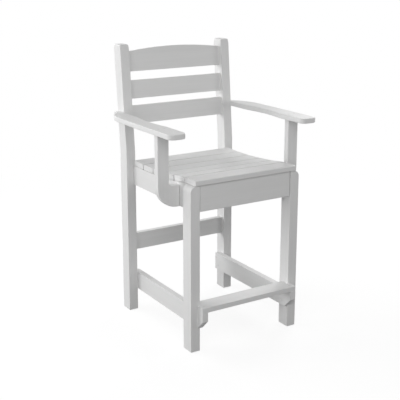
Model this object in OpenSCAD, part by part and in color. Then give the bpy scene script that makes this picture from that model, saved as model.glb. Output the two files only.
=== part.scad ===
// Counter-height arm chair made of solid recycled-plastic lumber boards.
// Heights start at the floor. Depths start at the front faces of the front
// legs and grow towards the back, and placed() then moves the chair so that
// the origin lies on the floor under its middle: +X to the right as seen from
// the front, -Y to the front. Paired pieces are drawn once, on the right.

/* [Legs] */
// Width of every leg, seen from the front
leg_w = 38.1; // [36:0.1:42]
// Depth of every leg, seen from the side
leg_d = 54; // [50:1:58]
// Depth of the frame, over the front faces of the front legs and the rear faces of the back legs
frame_depth = 519.5; // [505:0.5:545]
// Distance over the outer faces of the two front legs
front_span = 475.8; // [440:0.2:540]
// Step outwards from each front leg to the back leg behind it
leg_step = 10.6; // [7:0.1:13]
// Height above the seat's front edge at which the back legs start to lean
bend_rise = 17; // [0:1:40]
// Lean of the back, in degrees from upright
lean = 5; // [1:0.5:10]
// Height of the back legs above the middle of the top back slat
leg_horn = 13.8; // [6:0.2:40]
// Radius on the outer top corners of the front legs
front_top_r = 22; // [6:1:30]
// Radius on the top corners of the back legs
back_top_r = 6; // [3:0.5:10]

/* [Seat] */
// Height of the seat's front edge
seat_h = 647; // [600:1:700]
// Gap between two seat slats; the slats share the rest of the seat's depth
slat_gap = 6.5; // [3:0.5:10]
// Thickness of a seat slat
slat_t = 21; // [16:0.5:25]
// Radius on the long edges of the seat slats
slat_r = 4; // [1:0.5:6]
// Overhang of the front slat past the front legs
slat_overhang = 5.5; // [0:0.5:12]
// Gap between the last seat slat and the back legs
seat_rear_gap = 9.5; // [3:0.5:20]
// Depth of the scoop in the seat, below its front edge
scoop_depth = 20; // [8:0.5:30]
// Distance from the front legs' front faces to the lowest line of the scoop
scoop_y = 350; // [300:1:400]

/* [Aprons and cleats] */
// Thickness of the apron boards
apron_t = 24; // [20:0.5:27]
// Height of the front apron and of the side aprons at their front ends
apron_h = 96; // [90:1:115]
// Depth that the side aprons are let into the inner faces of the back legs
apron_let_in = 10; // [5:0.1:13]
// Setback of the front apron from the front legs' front faces
front_apron_setback = 2.5; // [1:0.5:9]
// Drop from the seat line to the top edge of the rear apron
rear_apron_drop = 10; // [4:1:30]
// Thickness of the two seat cleats
cleat_t = 24; // [20:0.5:30]
// Height of the seat cleats at the lowest line of the scoop
cleat_h = 38; // [34:1:46]

/* [Back] */
// Width of the lower and middle back slats
back_slat_w = 71.5; // [60:0.5:85]
// Thickness of the back slats
back_slat_t = 19; // [15:0.5:24]
// Distance along the back legs from their bend to the lowest back slat
back_slat_rise = 105; // [70:1:140]
// Gap between the lower and middle back slats
back_gap_lower = 27; // [10:0.5:50]
// Gap between the middle and top back slats
back_gap_upper = 34.5; // [10:0.5:60]
// Height of the top back slat where it meets the legs
crest_end_h = 76.5; // [62:0.5:95]
// Rise of the top back slat's arched edge from its ends to its middle
crest_rise = 14.5; // [4:0.5:30]
// Depth that the back slats and the back rail sit in the legs
tenon = 16; // [10:0.5:20]

/* [Arms] */
// Width of the arm boards
arm_w = 71.5; // [66:0.5:90]
// Thickness of the arm boards
arm_t = 19; // [17:0.5:28]
// Height of the arms' tops above the seat's front edge
arm_rise = 172; // [150:1:220]
// Reach of the arms in front of the front legs
arm_front = 1.5; // [0:0.5:30]
// Radius on the arms' front corners
arm_corner_r = 25; // [8:1:30]
// Width of the arms' tails beside the back legs
arm_tail_w = 21.5; // [18:0.5:36]
// Length of the straight part of the tails
arm_tail_l = 23; // [16:1:34]
// Length of the curve from the full width to the tail
arm_curve_l = 117; // [90:1:150]
// Distance from the tails' ends to the back legs' rear faces
arm_setback = 7.4; // [2:0.2:16]
// Depth of the hollow in the arms' inner edges
arm_scoop = 11; // [4:0.5:18]
// Length of the hollow in the arms' inner edges
arm_scoop_l = 226; // [180:2:260]
// Distance from the front legs' front faces to the hollow's middle
arm_scoop_y = 255; // [245:1:290]

/* [Arm brackets] */
// Width of the upright of a bracket
bracket_w = 44.5; // [38:0.5:49]
// Thickness of a bracket board
bracket_t = 24; // [17:0.5:28]
// Distance from an arm's inner edge to the upright
bracket_inset = 15.8; // [12:0.1:20]
// Height of the bracket's foot on the side apron
bracket_foot_h = 81; // [74:1:88]
// Distance from the front legs' front faces to the brackets
bracket_y = 105; // [80:1:160]
// Radius on the outer bottom corner of a bracket
bracket_outer_r = 76; // [20:1:84]
// Radius in the inner corner of a bracket
bracket_inner_r = 8; // [2:0.5:20]

/* [Lower frame] */
// Thickness of the side stretchers
stretcher_t = 24; // [22:0.5:28]
// Height of the side stretchers
stretcher_h = 71; // [64:1:90]
// Height of the side stretchers' undersides above the floor
stretcher_z = 88.5; // [70:0.5:150]
// Reach of the stretchers and the footrest in front of the front legs
stretcher_front = 35; // [26:1:50]
// Cut under the front ends of the side stretchers, at 45 degrees
stretcher_chamfer = 36.5; // [10:0.5:45]
// Distance from the stretchers' rear ends to the back legs' rear faces
stretcher_setback = 22.5; // [14:0.5:26]
// Width of the footrest board
footrest_w = 71; // [60:1:84]
// Thickness of the footrest board
footrest_t = 19; // [16:0.5:25]
// Thickness of the back rail
rail_t = 24; // [20:0.5:28]
// Height of the back rail
rail_h = 68.5; // [60:0.5:90]
// Height of the back rail's underside above the floor
rail_z = 251.5; // [190:0.5:400]

/* [Edges and screws] */
// Radius on the long edges of the frame boards
edge_r = 1.5; // [1:0.5:5]
// Diameter of the screws
screw_d = 5; // [4:0.1:6]
// Diameter of the screw heads
screw_head_d = 9.5; // [8.5:0.1:11]
// Clearance round tenons, in housings and round screws
fit = 0.3; // [0.1:0.05:0.5]

/* [Hidden] */
// Number of slats in the seat
slat_count = 6;
// Facets of the small arcs and of the broad ones
$fn = 64;
broad_fn = 720;
// How far a cut runs past a face
over = 1;

// Faces of the legs, to the side of the middle
front_inner_x = front_span / 2 - leg_w;
front_outer_x = front_span / 2;
back_inner_x = front_inner_x + leg_step;
back_outer_x = back_inner_x + leg_w;

// Faces of the aprons, cleats and stretchers, to the side of the middle
apron_outer_x = back_inner_x + apron_let_in;
apron_inner_x = apron_outer_x - apron_t;
cleat_inner_x = apron_inner_x - cleat_t;
stretcher_outer_x = back_inner_x;
stretcher_inner_x = stretcher_outer_x - stretcher_t;

// Depths of the back legs and the seat
back_rear_y = frame_depth;
back_front_y = back_rear_y - leg_d;
back_mid_y = back_front_y + leg_d / 2;
seat_rear_y = back_front_y - seat_rear_gap;
slat_w = (seat_rear_y + slat_overhang - (slat_count - 1) * slat_gap) / slat_count;
stretcher_rear_y = back_rear_y - stretcher_setback;
front_apron_rear_y = front_apron_setback + apron_t;
rear_apron_front_y = back_mid_y - apron_t / 2;
rear_apron_rear_y = back_mid_y + apron_t / 2;

// Heights of the seat frame, the bend in the back legs and the arms
leg_top_z = seat_h - slat_t;
apron_z = leg_top_z - apron_h;
scoop_z = leg_top_z - scoop_depth;
cleat_z = scoop_z - cleat_h;
bend_z = seat_h + bend_rise;
arm_top_z = seat_h + arm_rise;
arm_z = arm_top_z - arm_t;
stretcher_top_z = stretcher_z + stretcher_h;
footrest_top_z = stretcher_top_z + footrest_t;

// Edges of the back slats along the leaning part of the legs
lower_slat_v = back_slat_rise;
middle_slat_v = lower_slat_v + back_slat_w + back_gap_lower;
crest_v = middle_slat_v + back_slat_w + back_gap_upper;
crest_top_v = crest_v + crest_end_h + crest_rise;
slat_half_l = back_inner_x + tenon;
crest_r = (pow(back_inner_x, 2) + pow(crest_rise, 2)) / (2 * crest_rise);
leg_end_z = bend_z + crest_top_v * cos(lean) + leg_horn;

// Radius of the seat's scoop, which starts behind the front slat
scoop_start_y = slat_w - slat_overhang;
scoop_half_l = scoop_y - scoop_start_y;
scoop_r = (pow(scoop_half_l, 2) + pow(scoop_depth, 2)) / (2 * scoop_depth);

// Outline of the arms and brackets
arm_inner_x = back_outer_x;
arm_outer_x = arm_inner_x + arm_w;
arm_rear_y = leg_front_y(arm_z + arm_t / 2) + leg_d / cos(lean) - arm_setback;
arm_curve_y = arm_rear_y - arm_tail_l - arm_curve_l;
arm_curve_drop = arm_w - arm_tail_w;
arm_curve_r = (pow(arm_curve_l, 2) + pow(arm_curve_drop, 2)) / (2 * arm_curve_drop);
arm_scoop_r = (pow(arm_scoop_l / 2, 2) + pow(arm_scoop, 2)) / (2 * arm_scoop);
bracket_inner_x = arm_inner_x + bracket_inset;
bracket_outer_x = bracket_inner_x + bracket_w;
bracket_mid_y = bracket_y + bracket_t / 2;

// Screws: their heads, how deep they reach and where they stand
screw_r = screw_d / 2;
screw_head_r = screw_head_d / 2;
screw_rim = 0.6;
screw_point = 6;
drive_w = 3;
drive_depth = 1.8;
tip_cover = 6;
pin_tip_cover = 3;
stretcher_tip_cover = 9;
head_recess = 6;
bite = 30;
arm_bite = 40;
screw_inset = 15;
bracket_screw_drop = 47;
slat_screw_dy = 20;
slat_screw_edge = 12;
pin_dv = 20;
stretcher_screw_dy = 8;
stretcher_screw_dz = 17;
bracket_screw_dx = 12;
pocket_angle = 15;
pocket_back = 28;
pocket_zs = [20, 76];
cleat_mid_x = (cleat_inner_x + apron_inner_x) / 2;
pin_x = back_inner_x + tenon / 2;
footrest_screw_x = (front_inner_x + stretcher_inner_x) / 2;
footrest_screw_ys = [-stretcher_front / 2, (footrest_w - stretcher_front) / 2];
front_joint_y = (front_apron_rear_y + leg_d) / 2;
rear_joint_y = (back_front_y + rear_apron_front_y) / 2;
stretcher_joint_ys = [leg_d / 2, (back_front_y + stretcher_rear_y) / 2];
apron_screw_zs = [apron_z + screw_inset, apron_z + bracket_foot_h - bracket_screw_drop];
slat_screw_l = cleat_h - head_recess + slat_t - tip_cover;
cleat_screw_l = cleat_t + apron_t - tip_cover - fit;
apron_screw_l = apron_outer_x - apron_inner_x + leg_w - leg_step - apron_let_in - tip_cover - over;
end_screw_l = apron_t + bite;
pocket_screw_l = pocket_back + bite - tip_cover;
stretcher_screw_l = stretcher_t + leg_w - leg_step - stretcher_tip_cover;
footrest_screw_l = footrest_t + bite;
slat_pin_l = (leg_d + back_slat_t) / 2 - pin_tip_cover;
rail_pin_l = (leg_d + rail_t) / 2 - pin_tip_cover;
arm_screw_l = arm_t + arm_bite;
tail_screw_l = arm_tail_w + leg_w - tenon - tip_cover;
inner_screw_l = leg_w + arm_tail_w - pin_tip_cover;

// The chair spans from the stretchers' front ends to the back legs' tops
chair_front_y = -max(stretcher_front, slat_overhang, arm_front);
chair_rear_y = leg_front_y(leg_end_z) + leg_d / cos(lean);
origin_y = (chair_front_y + chair_rear_y) / 2;

lumber_colour = [0.90, 0.90, 0.89];
steel_colour = [0.66, 0.67, 0.68];
coated_colour = [0.86, 0.86, 0.85];

// Depth of the back legs' front face at height z
function leg_front_y(z) = back_front_y + max(0, z - bend_z) * tan(lean);

// Front edge of seat slat i, counted from 0 at the front
function slat_y(i) = i * (slat_w + slat_gap) - slat_overhang;

// Height of the line that the slats sit on: flat in front, then an arc
function seat_z(y) =
    y <= scoop_start_y ? leg_top_z : scoop_z + scoop_r - sqrt(pow(scoop_r, 2) - pow(y - scoop_y, 2));

// Slope of seat slat i
function slat_slope(i) = atan2(seat_z(slat_y(i) + slat_w) - seat_z(slat_y(i)), slat_w);

// Depths of the two screws at each end of seat slat i, behind the front apron
function slat_screw_ys(i) = [
    for (dy = [-slat_screw_dy, slat_screw_dy])
        max(slat_y(i) + slat_w / 2 + dy, front_apron_rear_y + slat_screw_edge)
];

// Side view of a board under the seat: flat below, with one short flat
// along its top edge for each slat, from depth y0 to depth y1
function under_seat(y0, y1, z0) = concat(
    [[y0, z0], [y1, z0], [y1, seat_z(y1)]],
    [for (i = [slat_count - 1:-1:1]) each [
        [slat_y(i) + slat_w, seat_z(slat_y(i) + slat_w)],
        [slat_y(i), seat_z(slat_y(i))]
    ]],
    [[scoop_start_y, leg_top_z], [y0, leg_top_z]]
);

module placed() {
    translate([0, -origin_y, 0]) children();
}

module lumber() {
    color(lumber_colour) placed() children();
}

module mirrored_left() {
    mirror([1, 0, 0]) children();
}

module both_sides() {
    children();
    mirrored_left() children();
}

// Frame of the leaning part of the back legs: depth along Y, length along Z
module leaned() {
    translate([0, back_front_y, bend_z]) rotate([-lean, 0, 0]) children();
}

module rounded_rect(size, r) {
    translate([r, 0]) square([size[0] - 2 * r, size[1]]);
    translate([0, r]) square([size[0], size[1] - 2 * r]);
    for (x = [r, size[0] - r], y = [r, size[1] - r]) {
        translate([x, y]) circle(r);
    }
}

// Rectangle whose two top corners have their own radii
module topped_rect(size, left_r, right_r) {
    difference() {
        square(size);
        translate([-over, size[1] - left_r]) square([left_r + over, left_r + over]);
        translate([size[0] - right_r, size[1] - right_r]) square([right_r + over, right_r + over]);
    }
    translate([left_r, size[1] - left_r]) circle(left_r);
    translate([size[0] - right_r, size[1] - right_r]) circle(right_r);
}

// Boards with rounded long edges between two corners, named by their length
module board_x(lo, hi, r = edge_r) {
    translate(lo) rotate([90, 0, 90]) linear_extrude(hi[0] - lo[0])
        rounded_rect([hi[1] - lo[1], hi[2] - lo[2]], r);
}

module board_y(lo, hi, r = edge_r) {
    translate([lo[0], hi[1], lo[2]]) rotate([90, 0, 0]) linear_extrude(hi[1] - lo[1])
        rounded_rect([hi[0] - lo[0], hi[2] - lo[2]], r);
}

module board_z(lo, hi, r = edge_r) {
    translate(lo) linear_extrude(hi[2] - lo[2])
        rounded_rect([hi[0] - lo[0], hi[1] - lo[1]], r);
}

module block(lo, hi) {
    translate(lo) cube(hi - lo);
}

// Extrusion of a side view (depth, height) from x0 to x1
module side_view(x0, x1) {
    translate([x0, 0, 0]) rotate([90, 0, 90]) linear_extrude(x1 - x0) children();
}

// Extrusion of a front view (width, height) from y0 to y1
module front_view(y0, y1) {
    translate([0, y1, 0]) rotate([90, 0, 0]) linear_extrude(y1 - y0) children();
}

// Countersunk screw whose head lies in the plane z = 0 and points down
module screw(l) {
    cone = screw_head_r - screw_r;
    difference() {
        rotate_extrude() polygon([
            [0, 0],
            [screw_head_r, 0],
            [screw_head_r, -screw_rim],
            [screw_r, -screw_rim - cone],
            [screw_r, screw_point - l],
            [0, -l]
        ]);
        translate([-drive_w / 2, -drive_w / 2, -drive_depth]) cube([drive_w, drive_w, drive_depth + over]);
    }
}

// The room that the screw takes, open above its head for the given reach
module screw_hole(l, reach = over) {
    cone = screw_head_r - screw_r;
    rotate_extrude() polygon([
        [0, reach],
        [screw_head_r + fit, reach],
        [screw_head_r + fit, -screw_rim - fit],
        [screw_r + fit, -screw_rim - cone - fit],
        [screw_r + fit, -l - fit],
        [0, -l - fit]
    ]);
}

module into_right() {
    rotate([0, -90, 0]) children();
}

module into_left() {
    rotate([0, 90, 0]) children();
}

module into_front() {
    rotate([-90, 0, 0]) children();
}

module into_top() {
    rotate([180, 0, 0]) children();
}

module at_slat_screws(i) {
    for (y = slat_screw_ys(i)) {
        translate([cleat_mid_x, y, seat_z(y) + slat_t - tip_cover - slat_screw_l]) into_top() children();
    }
}

module at_cleat_screws() {
    for (i = [1:slat_count - 1]) {
        translate([cleat_inner_x, slat_y(i) + slat_w / 2, cleat_z + cleat_h / 2]) into_right() children();
    }
}

module at_apron_screws(y) {
    for (z = apron_screw_zs) {
        translate([apron_inner_x, y, z]) into_right() children();
    }
}

module at_rear_apron_screws() {
    for (z = apron_screw_zs) {
        translate([apron_outer_x, back_mid_y, z]) into_left() children();
    }
}

module at_pocket_screws() {
    for (dz = pocket_zs) {
        translate([front_inner_x, front_apron_setback + apron_t / 2, apron_z + dz])
            rotate([0, 0, -pocket_angle]) into_right() translate([0, 0, pocket_back]) children();
    }
}

module at_stretcher_screws(y) {
    for (k = [-1, 1]) {
        translate([
            stretcher_inner_x,
            y + k * stretcher_screw_dy,
            stretcher_z + stretcher_h / 2 + k * stretcher_screw_dz
        ]) into_right() children();
    }
}

module at_footrest_screws() {
    for (y = footrest_screw_ys) {
        translate([footrest_screw_x, y, footrest_top_z]) children();
    }
}

module at_slat_pins(v, h) {
    for (k = [-1, 1]) {
        leaned() translate([pin_x, leg_d, v + h / 2 + k * pin_dv]) into_front() children();
    }
}

module at_rail_pins() {
    for (k = [-1, 1]) {
        translate([pin_x, back_rear_y, rail_z + rail_h / 2 + k * pin_dv]) into_front() children();
    }
}

module at_arm_screws() {
    for (k = [-1, 1]) {
        translate([bracket_inner_x + bracket_w / 2 + k * bracket_screw_dx, bracket_mid_y, arm_top_z]) children();
    }
}

module at_tail_screw() {
    translate([arm_inner_x + arm_tail_w, arm_rear_y - arm_tail_l / 2, arm_z + arm_t / 2]) into_left() children();
}

module at_inner_tail_screw() {
    translate([
        back_inner_x,
        leg_front_y(arm_z + arm_t / 2) + (leg_d - back_slat_t) / 4,
        arm_z + arm_t / 2
    ]) into_right() children();
}

// Back slats in the leaned frame, grown by g all round for their housings
module flat_back_slat(v, g = 0) {
    board_x(
        [-slat_half_l - g, (leg_d - back_slat_t) / 2 - g, v - g],
        [slat_half_l + g, (leg_d + back_slat_t) / 2 + g, v + back_slat_w + g],
        edge_r
    );
}

module crest_slat(g = 0) {
    intersection() {
        board_x(
            [-slat_half_l - g, (leg_d - back_slat_t) / 2 - g, crest_v - g],
            [slat_half_l + g, (leg_d + back_slat_t) / 2 + g, crest_top_v + g],
            edge_r
        );
        front_view(0, leg_d) translate([0, crest_top_v - crest_r]) circle(crest_r + g, $fn = broad_fn);
    }
}

module rail(g = 0) {
    board_x(
        [-slat_half_l - g, back_mid_y - rail_t / 2 - g, rail_z - g],
        [slat_half_l + g, back_mid_y + rail_t / 2 + g, rail_z + rail_h + g]
    );
}

module front_leg() {
    difference() {
        intersection() {
            board_z([front_inner_x, 0, 0], [front_outer_x, leg_d, leg_top_z]);
            front_view(0, leg_d) translate([front_inner_x, 0])
                topped_rect([leg_w, leg_top_z], edge_r, front_top_r);
        }
        block(
            [front_inner_x - over, front_apron_rear_y, apron_z],
            [apron_outer_x + fit, leg_d + over, leg_top_z + over]
        );
        block(
            [front_inner_x - over, -over, stretcher_z - fit],
            [stretcher_outer_x, leg_d + over, stretcher_top_z + fit]
        );
        at_apron_screws(front_joint_y) screw_hole(apron_screw_l);
        at_pocket_screws() screw_hole(pocket_screw_l);
        at_stretcher_screws(stretcher_joint_ys[0]) screw_hole(stretcher_screw_l);
    }
}

// Side view of a back leg: upright up to the bend, then leaning back, with a
// level top. Its long edges stay square.
module back_leg_side() {
    polygon([
        [back_front_y, 0],
        [back_rear_y, 0],
        [back_rear_y, bend_z - leg_d * tan(lean / 2)],
        [chair_rear_y, leg_end_z],
        [leg_front_y(leg_end_z), leg_end_z],
        [back_front_y, bend_z]
    ]);
}

module back_leg() {
    difference() {
        intersection() {
            side_view(back_inner_x, back_outer_x) back_leg_side();
            front_view(0, chair_rear_y + over) translate([back_inner_x, 0])
                topped_rect([leg_w, leg_end_z], back_top_r, back_top_r);
        }
        leaned() {
            flat_back_slat(lower_slat_v, fit);
            flat_back_slat(middle_slat_v, fit);
            crest_slat(fit);
        }
        rail(fit);
        block(
            [back_inner_x - over, back_front_y - over, apron_z - fit],
            [apron_outer_x, rear_apron_rear_y + fit, leg_top_z]
        );
        at_apron_screws(rear_joint_y) screw_hole(apron_screw_l);
        at_stretcher_screws(stretcher_joint_ys[1]) screw_hole(stretcher_screw_l);
        at_slat_pins(lower_slat_v, back_slat_w) screw_hole(slat_pin_l);
        at_slat_pins(middle_slat_v, back_slat_w) screw_hole(slat_pin_l);
        at_slat_pins(crest_v, crest_end_h) screw_hole(slat_pin_l);
        at_rail_pins() screw_hole(rail_pin_l);
        at_tail_screw() screw_hole(tail_screw_l);
        at_inner_tail_screw() screw_hole(inner_screw_l);
    }
}

module side_apron() {
    difference() {
        intersection() {
            side_view(apron_inner_x, apron_outer_x)
                polygon(under_seat(front_apron_rear_y, rear_apron_rear_y, apron_z));
            board_y(
                [apron_inner_x, front_apron_rear_y, apron_z],
                [apron_outer_x, rear_apron_rear_y, leg_top_z + edge_r]
            );
        }
        at_cleat_screws() screw_hole(cleat_screw_l);
        at_apron_screws(front_joint_y) screw_hole(apron_screw_l);
        at_apron_screws(rear_joint_y) screw_hole(apron_screw_l);
        at_apron_screws(bracket_mid_y) screw_hole(end_screw_l);
        at_rear_apron_screws() screw_hole(end_screw_l);
    }
}

module seat_cleat() {
    difference() {
        side_view(cleat_inner_x, apron_inner_x)
            polygon(under_seat(front_apron_rear_y + fit, rear_apron_front_y - fit, cleat_z));
        for (i = [0:slat_count - 1]) {
            at_slat_screws(i) screw_hole(slat_screw_l, apron_h);
        }
        at_cleat_screws() screw_hole(cleat_screw_l);
    }
}

module seat_slat(i) {
    difference() {
        translate([0, slat_y(i), seat_z(slat_y(i))]) rotate([slat_slope(i), 0, 0])
            board_x([-apron_outer_x, 0, 0], [apron_outer_x, slat_w, slat_t], slat_r);
        both_sides() at_slat_screws(i) screw_hole(slat_screw_l);
    }
}

module flat_back_slat_piece(v) {
    difference() {
        leaned() flat_back_slat(v);
        both_sides() at_slat_pins(v, back_slat_w) screw_hole(slat_pin_l);
    }
}

// Plan of the arm board: round front corners, a curved cut to the narrow
// tail behind, and a shallow hollow along the inner edge
module arm_plan() {
    difference() {
        union() {
            translate([arm_inner_x, -arm_front + arm_corner_r])
                square([arm_w, arm_curve_y + arm_front - arm_corner_r]);
            translate([arm_inner_x + arm_corner_r, -arm_front])
                square([arm_w - 2 * arm_corner_r, 2 * arm_corner_r]);
            for (x = [arm_inner_x + arm_corner_r, arm_outer_x - arm_corner_r]) {
                translate([x, -arm_front + arm_corner_r]) circle(arm_corner_r);
            }
            intersection() {
                translate([arm_outer_x - arm_curve_r, arm_curve_y]) circle(arm_curve_r, $fn = broad_fn);
                translate([arm_inner_x, arm_curve_y]) square([arm_w, arm_curve_l]);
            }
            translate([arm_inner_x, arm_curve_y]) square([arm_tail_w, arm_rear_y - arm_curve_y]);
        }
        translate([arm_inner_x + arm_scoop - arm_scoop_r, arm_scoop_y]) circle(arm_scoop_r, $fn = broad_fn);
    }
}

module arm() {
    difference() {
        translate([0, 0, arm_z]) linear_extrude(arm_t) arm_plan();
        at_arm_screws() screw_hole(arm_screw_l);
        at_tail_screw() screw_hole(tail_screw_l, arm_w);
        at_inner_tail_screw() screw_hole(inner_screw_l);
    }
}

// Front view of the bracket: an upright under the arm and a foot that runs
// inwards to the side apron, with a large radius outside and a small one in
// the corner
module bracket_outline() {
    foot_top_z = apron_z + bracket_foot_h;
    difference() {
        union() {
            translate([apron_outer_x, apron_z]) square([bracket_outer_x - apron_outer_x, bracket_foot_h]);
            translate([bracket_inner_x, apron_z]) square([bracket_w, arm_z - apron_z]);
            translate([bracket_inner_x - bracket_inner_r, foot_top_z])
                square([bracket_inner_r, bracket_inner_r]);
        }
        translate([bracket_inner_x - bracket_inner_r, foot_top_z + bracket_inner_r])
            circle(bracket_inner_r);
        translate([bracket_outer_x, apron_z]) difference() {
            translate([-bracket_outer_r, -over]) square([bracket_outer_r + over, bracket_outer_r + over]);
            translate([-bracket_outer_r, bracket_outer_r]) circle(bracket_outer_r, $fn = broad_fn);
        }
    }
}

module arm_bracket() {
    difference() {
        front_view(bracket_y, bracket_y + bracket_t) bracket_outline();
        at_arm_screws() screw_hole(arm_screw_l);
        at_apron_screws(bracket_mid_y) screw_hole(end_screw_l);
    }
}

module side_stretcher() {
    difference() {
        intersection() {
            board_y(
                [stretcher_inner_x, -stretcher_front, stretcher_z],
                [stretcher_outer_x, stretcher_rear_y, stretcher_top_z]
            );
            side_view(stretcher_inner_x, stretcher_outer_x) polygon([
                [-stretcher_front, stretcher_top_z],
                [-stretcher_front, stretcher_z + stretcher_chamfer],
                [-stretcher_front + stretcher_chamfer, stretcher_z],
                [stretcher_rear_y, stretcher_z],
                [stretcher_rear_y, stretcher_top_z]
            ]);
        }
        for (y = stretcher_joint_ys) {
            at_stretcher_screws(y) screw_hole(stretcher_screw_l);
        }
        at_footrest_screws() screw_hole(footrest_screw_l);
    }
}

module front_leg_left() {
    lumber() mirrored_left() front_leg();
}

module front_leg_right() {
    lumber() front_leg();
}

module back_leg_left() {
    lumber() mirrored_left() back_leg();
}

module back_leg_right() {
    lumber() back_leg();
}

module side_apron_left() {
    lumber() mirrored_left() side_apron();
}

module side_apron_right() {
    lumber() side_apron();
}

module front_apron() {
    lumber() difference() {
        board_x(
            [-front_inner_x, front_apron_setback, apron_z],
            [front_inner_x, front_apron_rear_y, leg_top_z]
        );
        both_sides() at_pocket_screws() screw_hole(pocket_screw_l, leg_w);
    }
}

module rear_apron() {
    lumber() difference() {
        board_x(
            [-apron_inner_x, rear_apron_front_y, apron_z],
            [apron_inner_x, rear_apron_rear_y, seat_z(rear_apron_rear_y) - rear_apron_drop]
        );
        both_sides() at_rear_apron_screws() screw_hole(end_screw_l);
    }
}

module seat_cleat_left() {
    lumber() mirrored_left() seat_cleat();
}

module seat_cleat_right() {
    lumber() seat_cleat();
}

module seat_slat_1() {
    lumber() seat_slat(0);
}

module seat_slat_2() {
    lumber() seat_slat(1);
}

module seat_slat_3() {
    lumber() seat_slat(2);
}

module seat_slat_4() {
    lumber() seat_slat(3);
}

module seat_slat_5() {
    lumber() seat_slat(4);
}

module seat_slat_6() {
    lumber() seat_slat(5);
}

module back_slat_lower() {
    lumber() flat_back_slat_piece(lower_slat_v);
}

module back_slat_middle() {
    lumber() flat_back_slat_piece(middle_slat_v);
}

module back_slat_top() {
    lumber() difference() {
        leaned() crest_slat();
        both_sides() at_slat_pins(crest_v, crest_end_h) screw_hole(slat_pin_l);
    }
}

module arm_left() {
    lumber() mirrored_left() arm();
}

module arm_right() {
    lumber() arm();
}

module arm_bracket_left() {
    lumber() mirrored_left() arm_bracket();
}

module arm_bracket_right() {
    lumber() arm_bracket();
}

module side_stretcher_left() {
    lumber() mirrored_left() side_stretcher();
}

module side_stretcher_right() {
    lumber() side_stretcher();
}

// The footrest lies on the stretchers and is notched round the front legs
module footrest() {
    lumber() difference() {
        board_x(
            [-stretcher_outer_x, -stretcher_front, stretcher_top_z],
            [stretcher_outer_x, footrest_w - stretcher_front, footrest_top_z]
        );
        both_sides() block(
            [front_inner_x - fit, -fit, stretcher_top_z - over],
            [stretcher_outer_x + over, leg_d + fit, footrest_top_z + over]
        );
        both_sides() at_footrest_screws() screw_hole(footrest_screw_l);
    }
}

module back_rail() {
    lumber() difference() {
        rail();
        both_sides() at_rail_pins() screw_hole(rail_pin_l);
    }
}

module seat_slat_screws() {
    color(steel_colour) placed() both_sides() {
        for (i = [0:slat_count - 1]) {
            at_slat_screws(i) screw(slat_screw_l);
        }
    }
}

module seat_cleat_screws() {
    color(steel_colour) placed() both_sides() at_cleat_screws() screw(cleat_screw_l);
}

module apron_screws() {
    color(steel_colour) placed() both_sides() {
        for (y = [front_joint_y, rear_joint_y]) {
            at_apron_screws(y) screw(apron_screw_l);
        }
    }
}

module rear_apron_screws() {
    color(steel_colour) placed() both_sides() at_rear_apron_screws() screw(end_screw_l);
}

module front_apron_screws() {
    color(steel_colour) placed() both_sides() at_pocket_screws() screw(pocket_screw_l);
}

module arm_bracket_screws() {
    color(steel_colour) placed() both_sides() at_apron_screws(bracket_mid_y) screw(end_screw_l);
}

module stretcher_screws() {
    color(coated_colour) placed() both_sides() {
        for (y = stretcher_joint_ys) {
            at_stretcher_screws(y) screw(stretcher_screw_l);
        }
    }
}

module back_slat_screws() {
    color(coated_colour) placed() both_sides() {
        at_slat_pins(lower_slat_v, back_slat_w) screw(slat_pin_l);
        at_slat_pins(middle_slat_v, back_slat_w) screw(slat_pin_l);
        at_slat_pins(crest_v, crest_end_h) screw(slat_pin_l);
    }
}

module back_rail_screws() {
    color(coated_colour) placed() both_sides() at_rail_pins() screw(rail_pin_l);
}

module arm_screws() {
    color(coated_colour) placed() both_sides() at_arm_screws() screw(arm_screw_l);
}

module arm_tail_screws() {
    color(coated_colour) placed() both_sides() {
        at_tail_screw() screw(tail_screw_l);
        at_inner_tail_screw() screw(inner_screw_l);
    }
}

module footrest_screws() {
    color(coated_colour) placed() both_sides() at_footrest_screws() screw(footrest_screw_l);
}

front_leg_left();
front_leg_right();
back_leg_left();
back_leg_right();
side_apron_left();
side_apron_right();
front_apron();
rear_apron();
seat_cleat_left();
seat_cleat_right();
seat_slat_1();
seat_slat_2();
seat_slat_3();
seat_slat_4();
seat_slat_5();
seat_slat_6();
back_slat_lower();
back_slat_middle();
back_slat_top();
arm_left();
arm_right();
arm_bracket_left();
arm_bracket_right();
side_stretcher_left();
side_stretcher_right();
footrest();
back_rail();
seat_slat_screws();
seat_cleat_screws();
apron_screws();
rear_apron_screws();
front_apron_screws();
arm_bracket_screws();
stretcher_screws();
back_slat_screws();
back_rail_screws();
arm_screws();
arm_tail_screws();
footrest_screws();
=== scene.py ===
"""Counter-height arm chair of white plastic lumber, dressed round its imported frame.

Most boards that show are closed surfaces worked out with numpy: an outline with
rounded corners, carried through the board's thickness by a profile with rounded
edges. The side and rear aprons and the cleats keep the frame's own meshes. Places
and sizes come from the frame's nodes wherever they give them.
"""

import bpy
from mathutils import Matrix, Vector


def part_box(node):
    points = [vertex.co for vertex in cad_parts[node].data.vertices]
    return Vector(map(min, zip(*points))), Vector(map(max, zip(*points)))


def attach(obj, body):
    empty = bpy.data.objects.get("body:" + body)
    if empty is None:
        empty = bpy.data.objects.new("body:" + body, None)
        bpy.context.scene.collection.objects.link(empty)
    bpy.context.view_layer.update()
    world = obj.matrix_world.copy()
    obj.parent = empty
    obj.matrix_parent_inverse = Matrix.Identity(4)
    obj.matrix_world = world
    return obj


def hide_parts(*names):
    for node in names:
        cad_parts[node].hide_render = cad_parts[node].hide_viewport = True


bl_info = {
    "name": "Counter-Height Arm Chair",
    "version": (1, 0, 0),
    "blender": (4, 5, 0),
    "location": "3D View > Sidebar > Chair",
    "description": "Builds a counter-height arm chair of plastic lumber round its frame",
    "category": "Add Mesh",
}

from math import cos, pi, radians, sin, sqrt, tan

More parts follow.
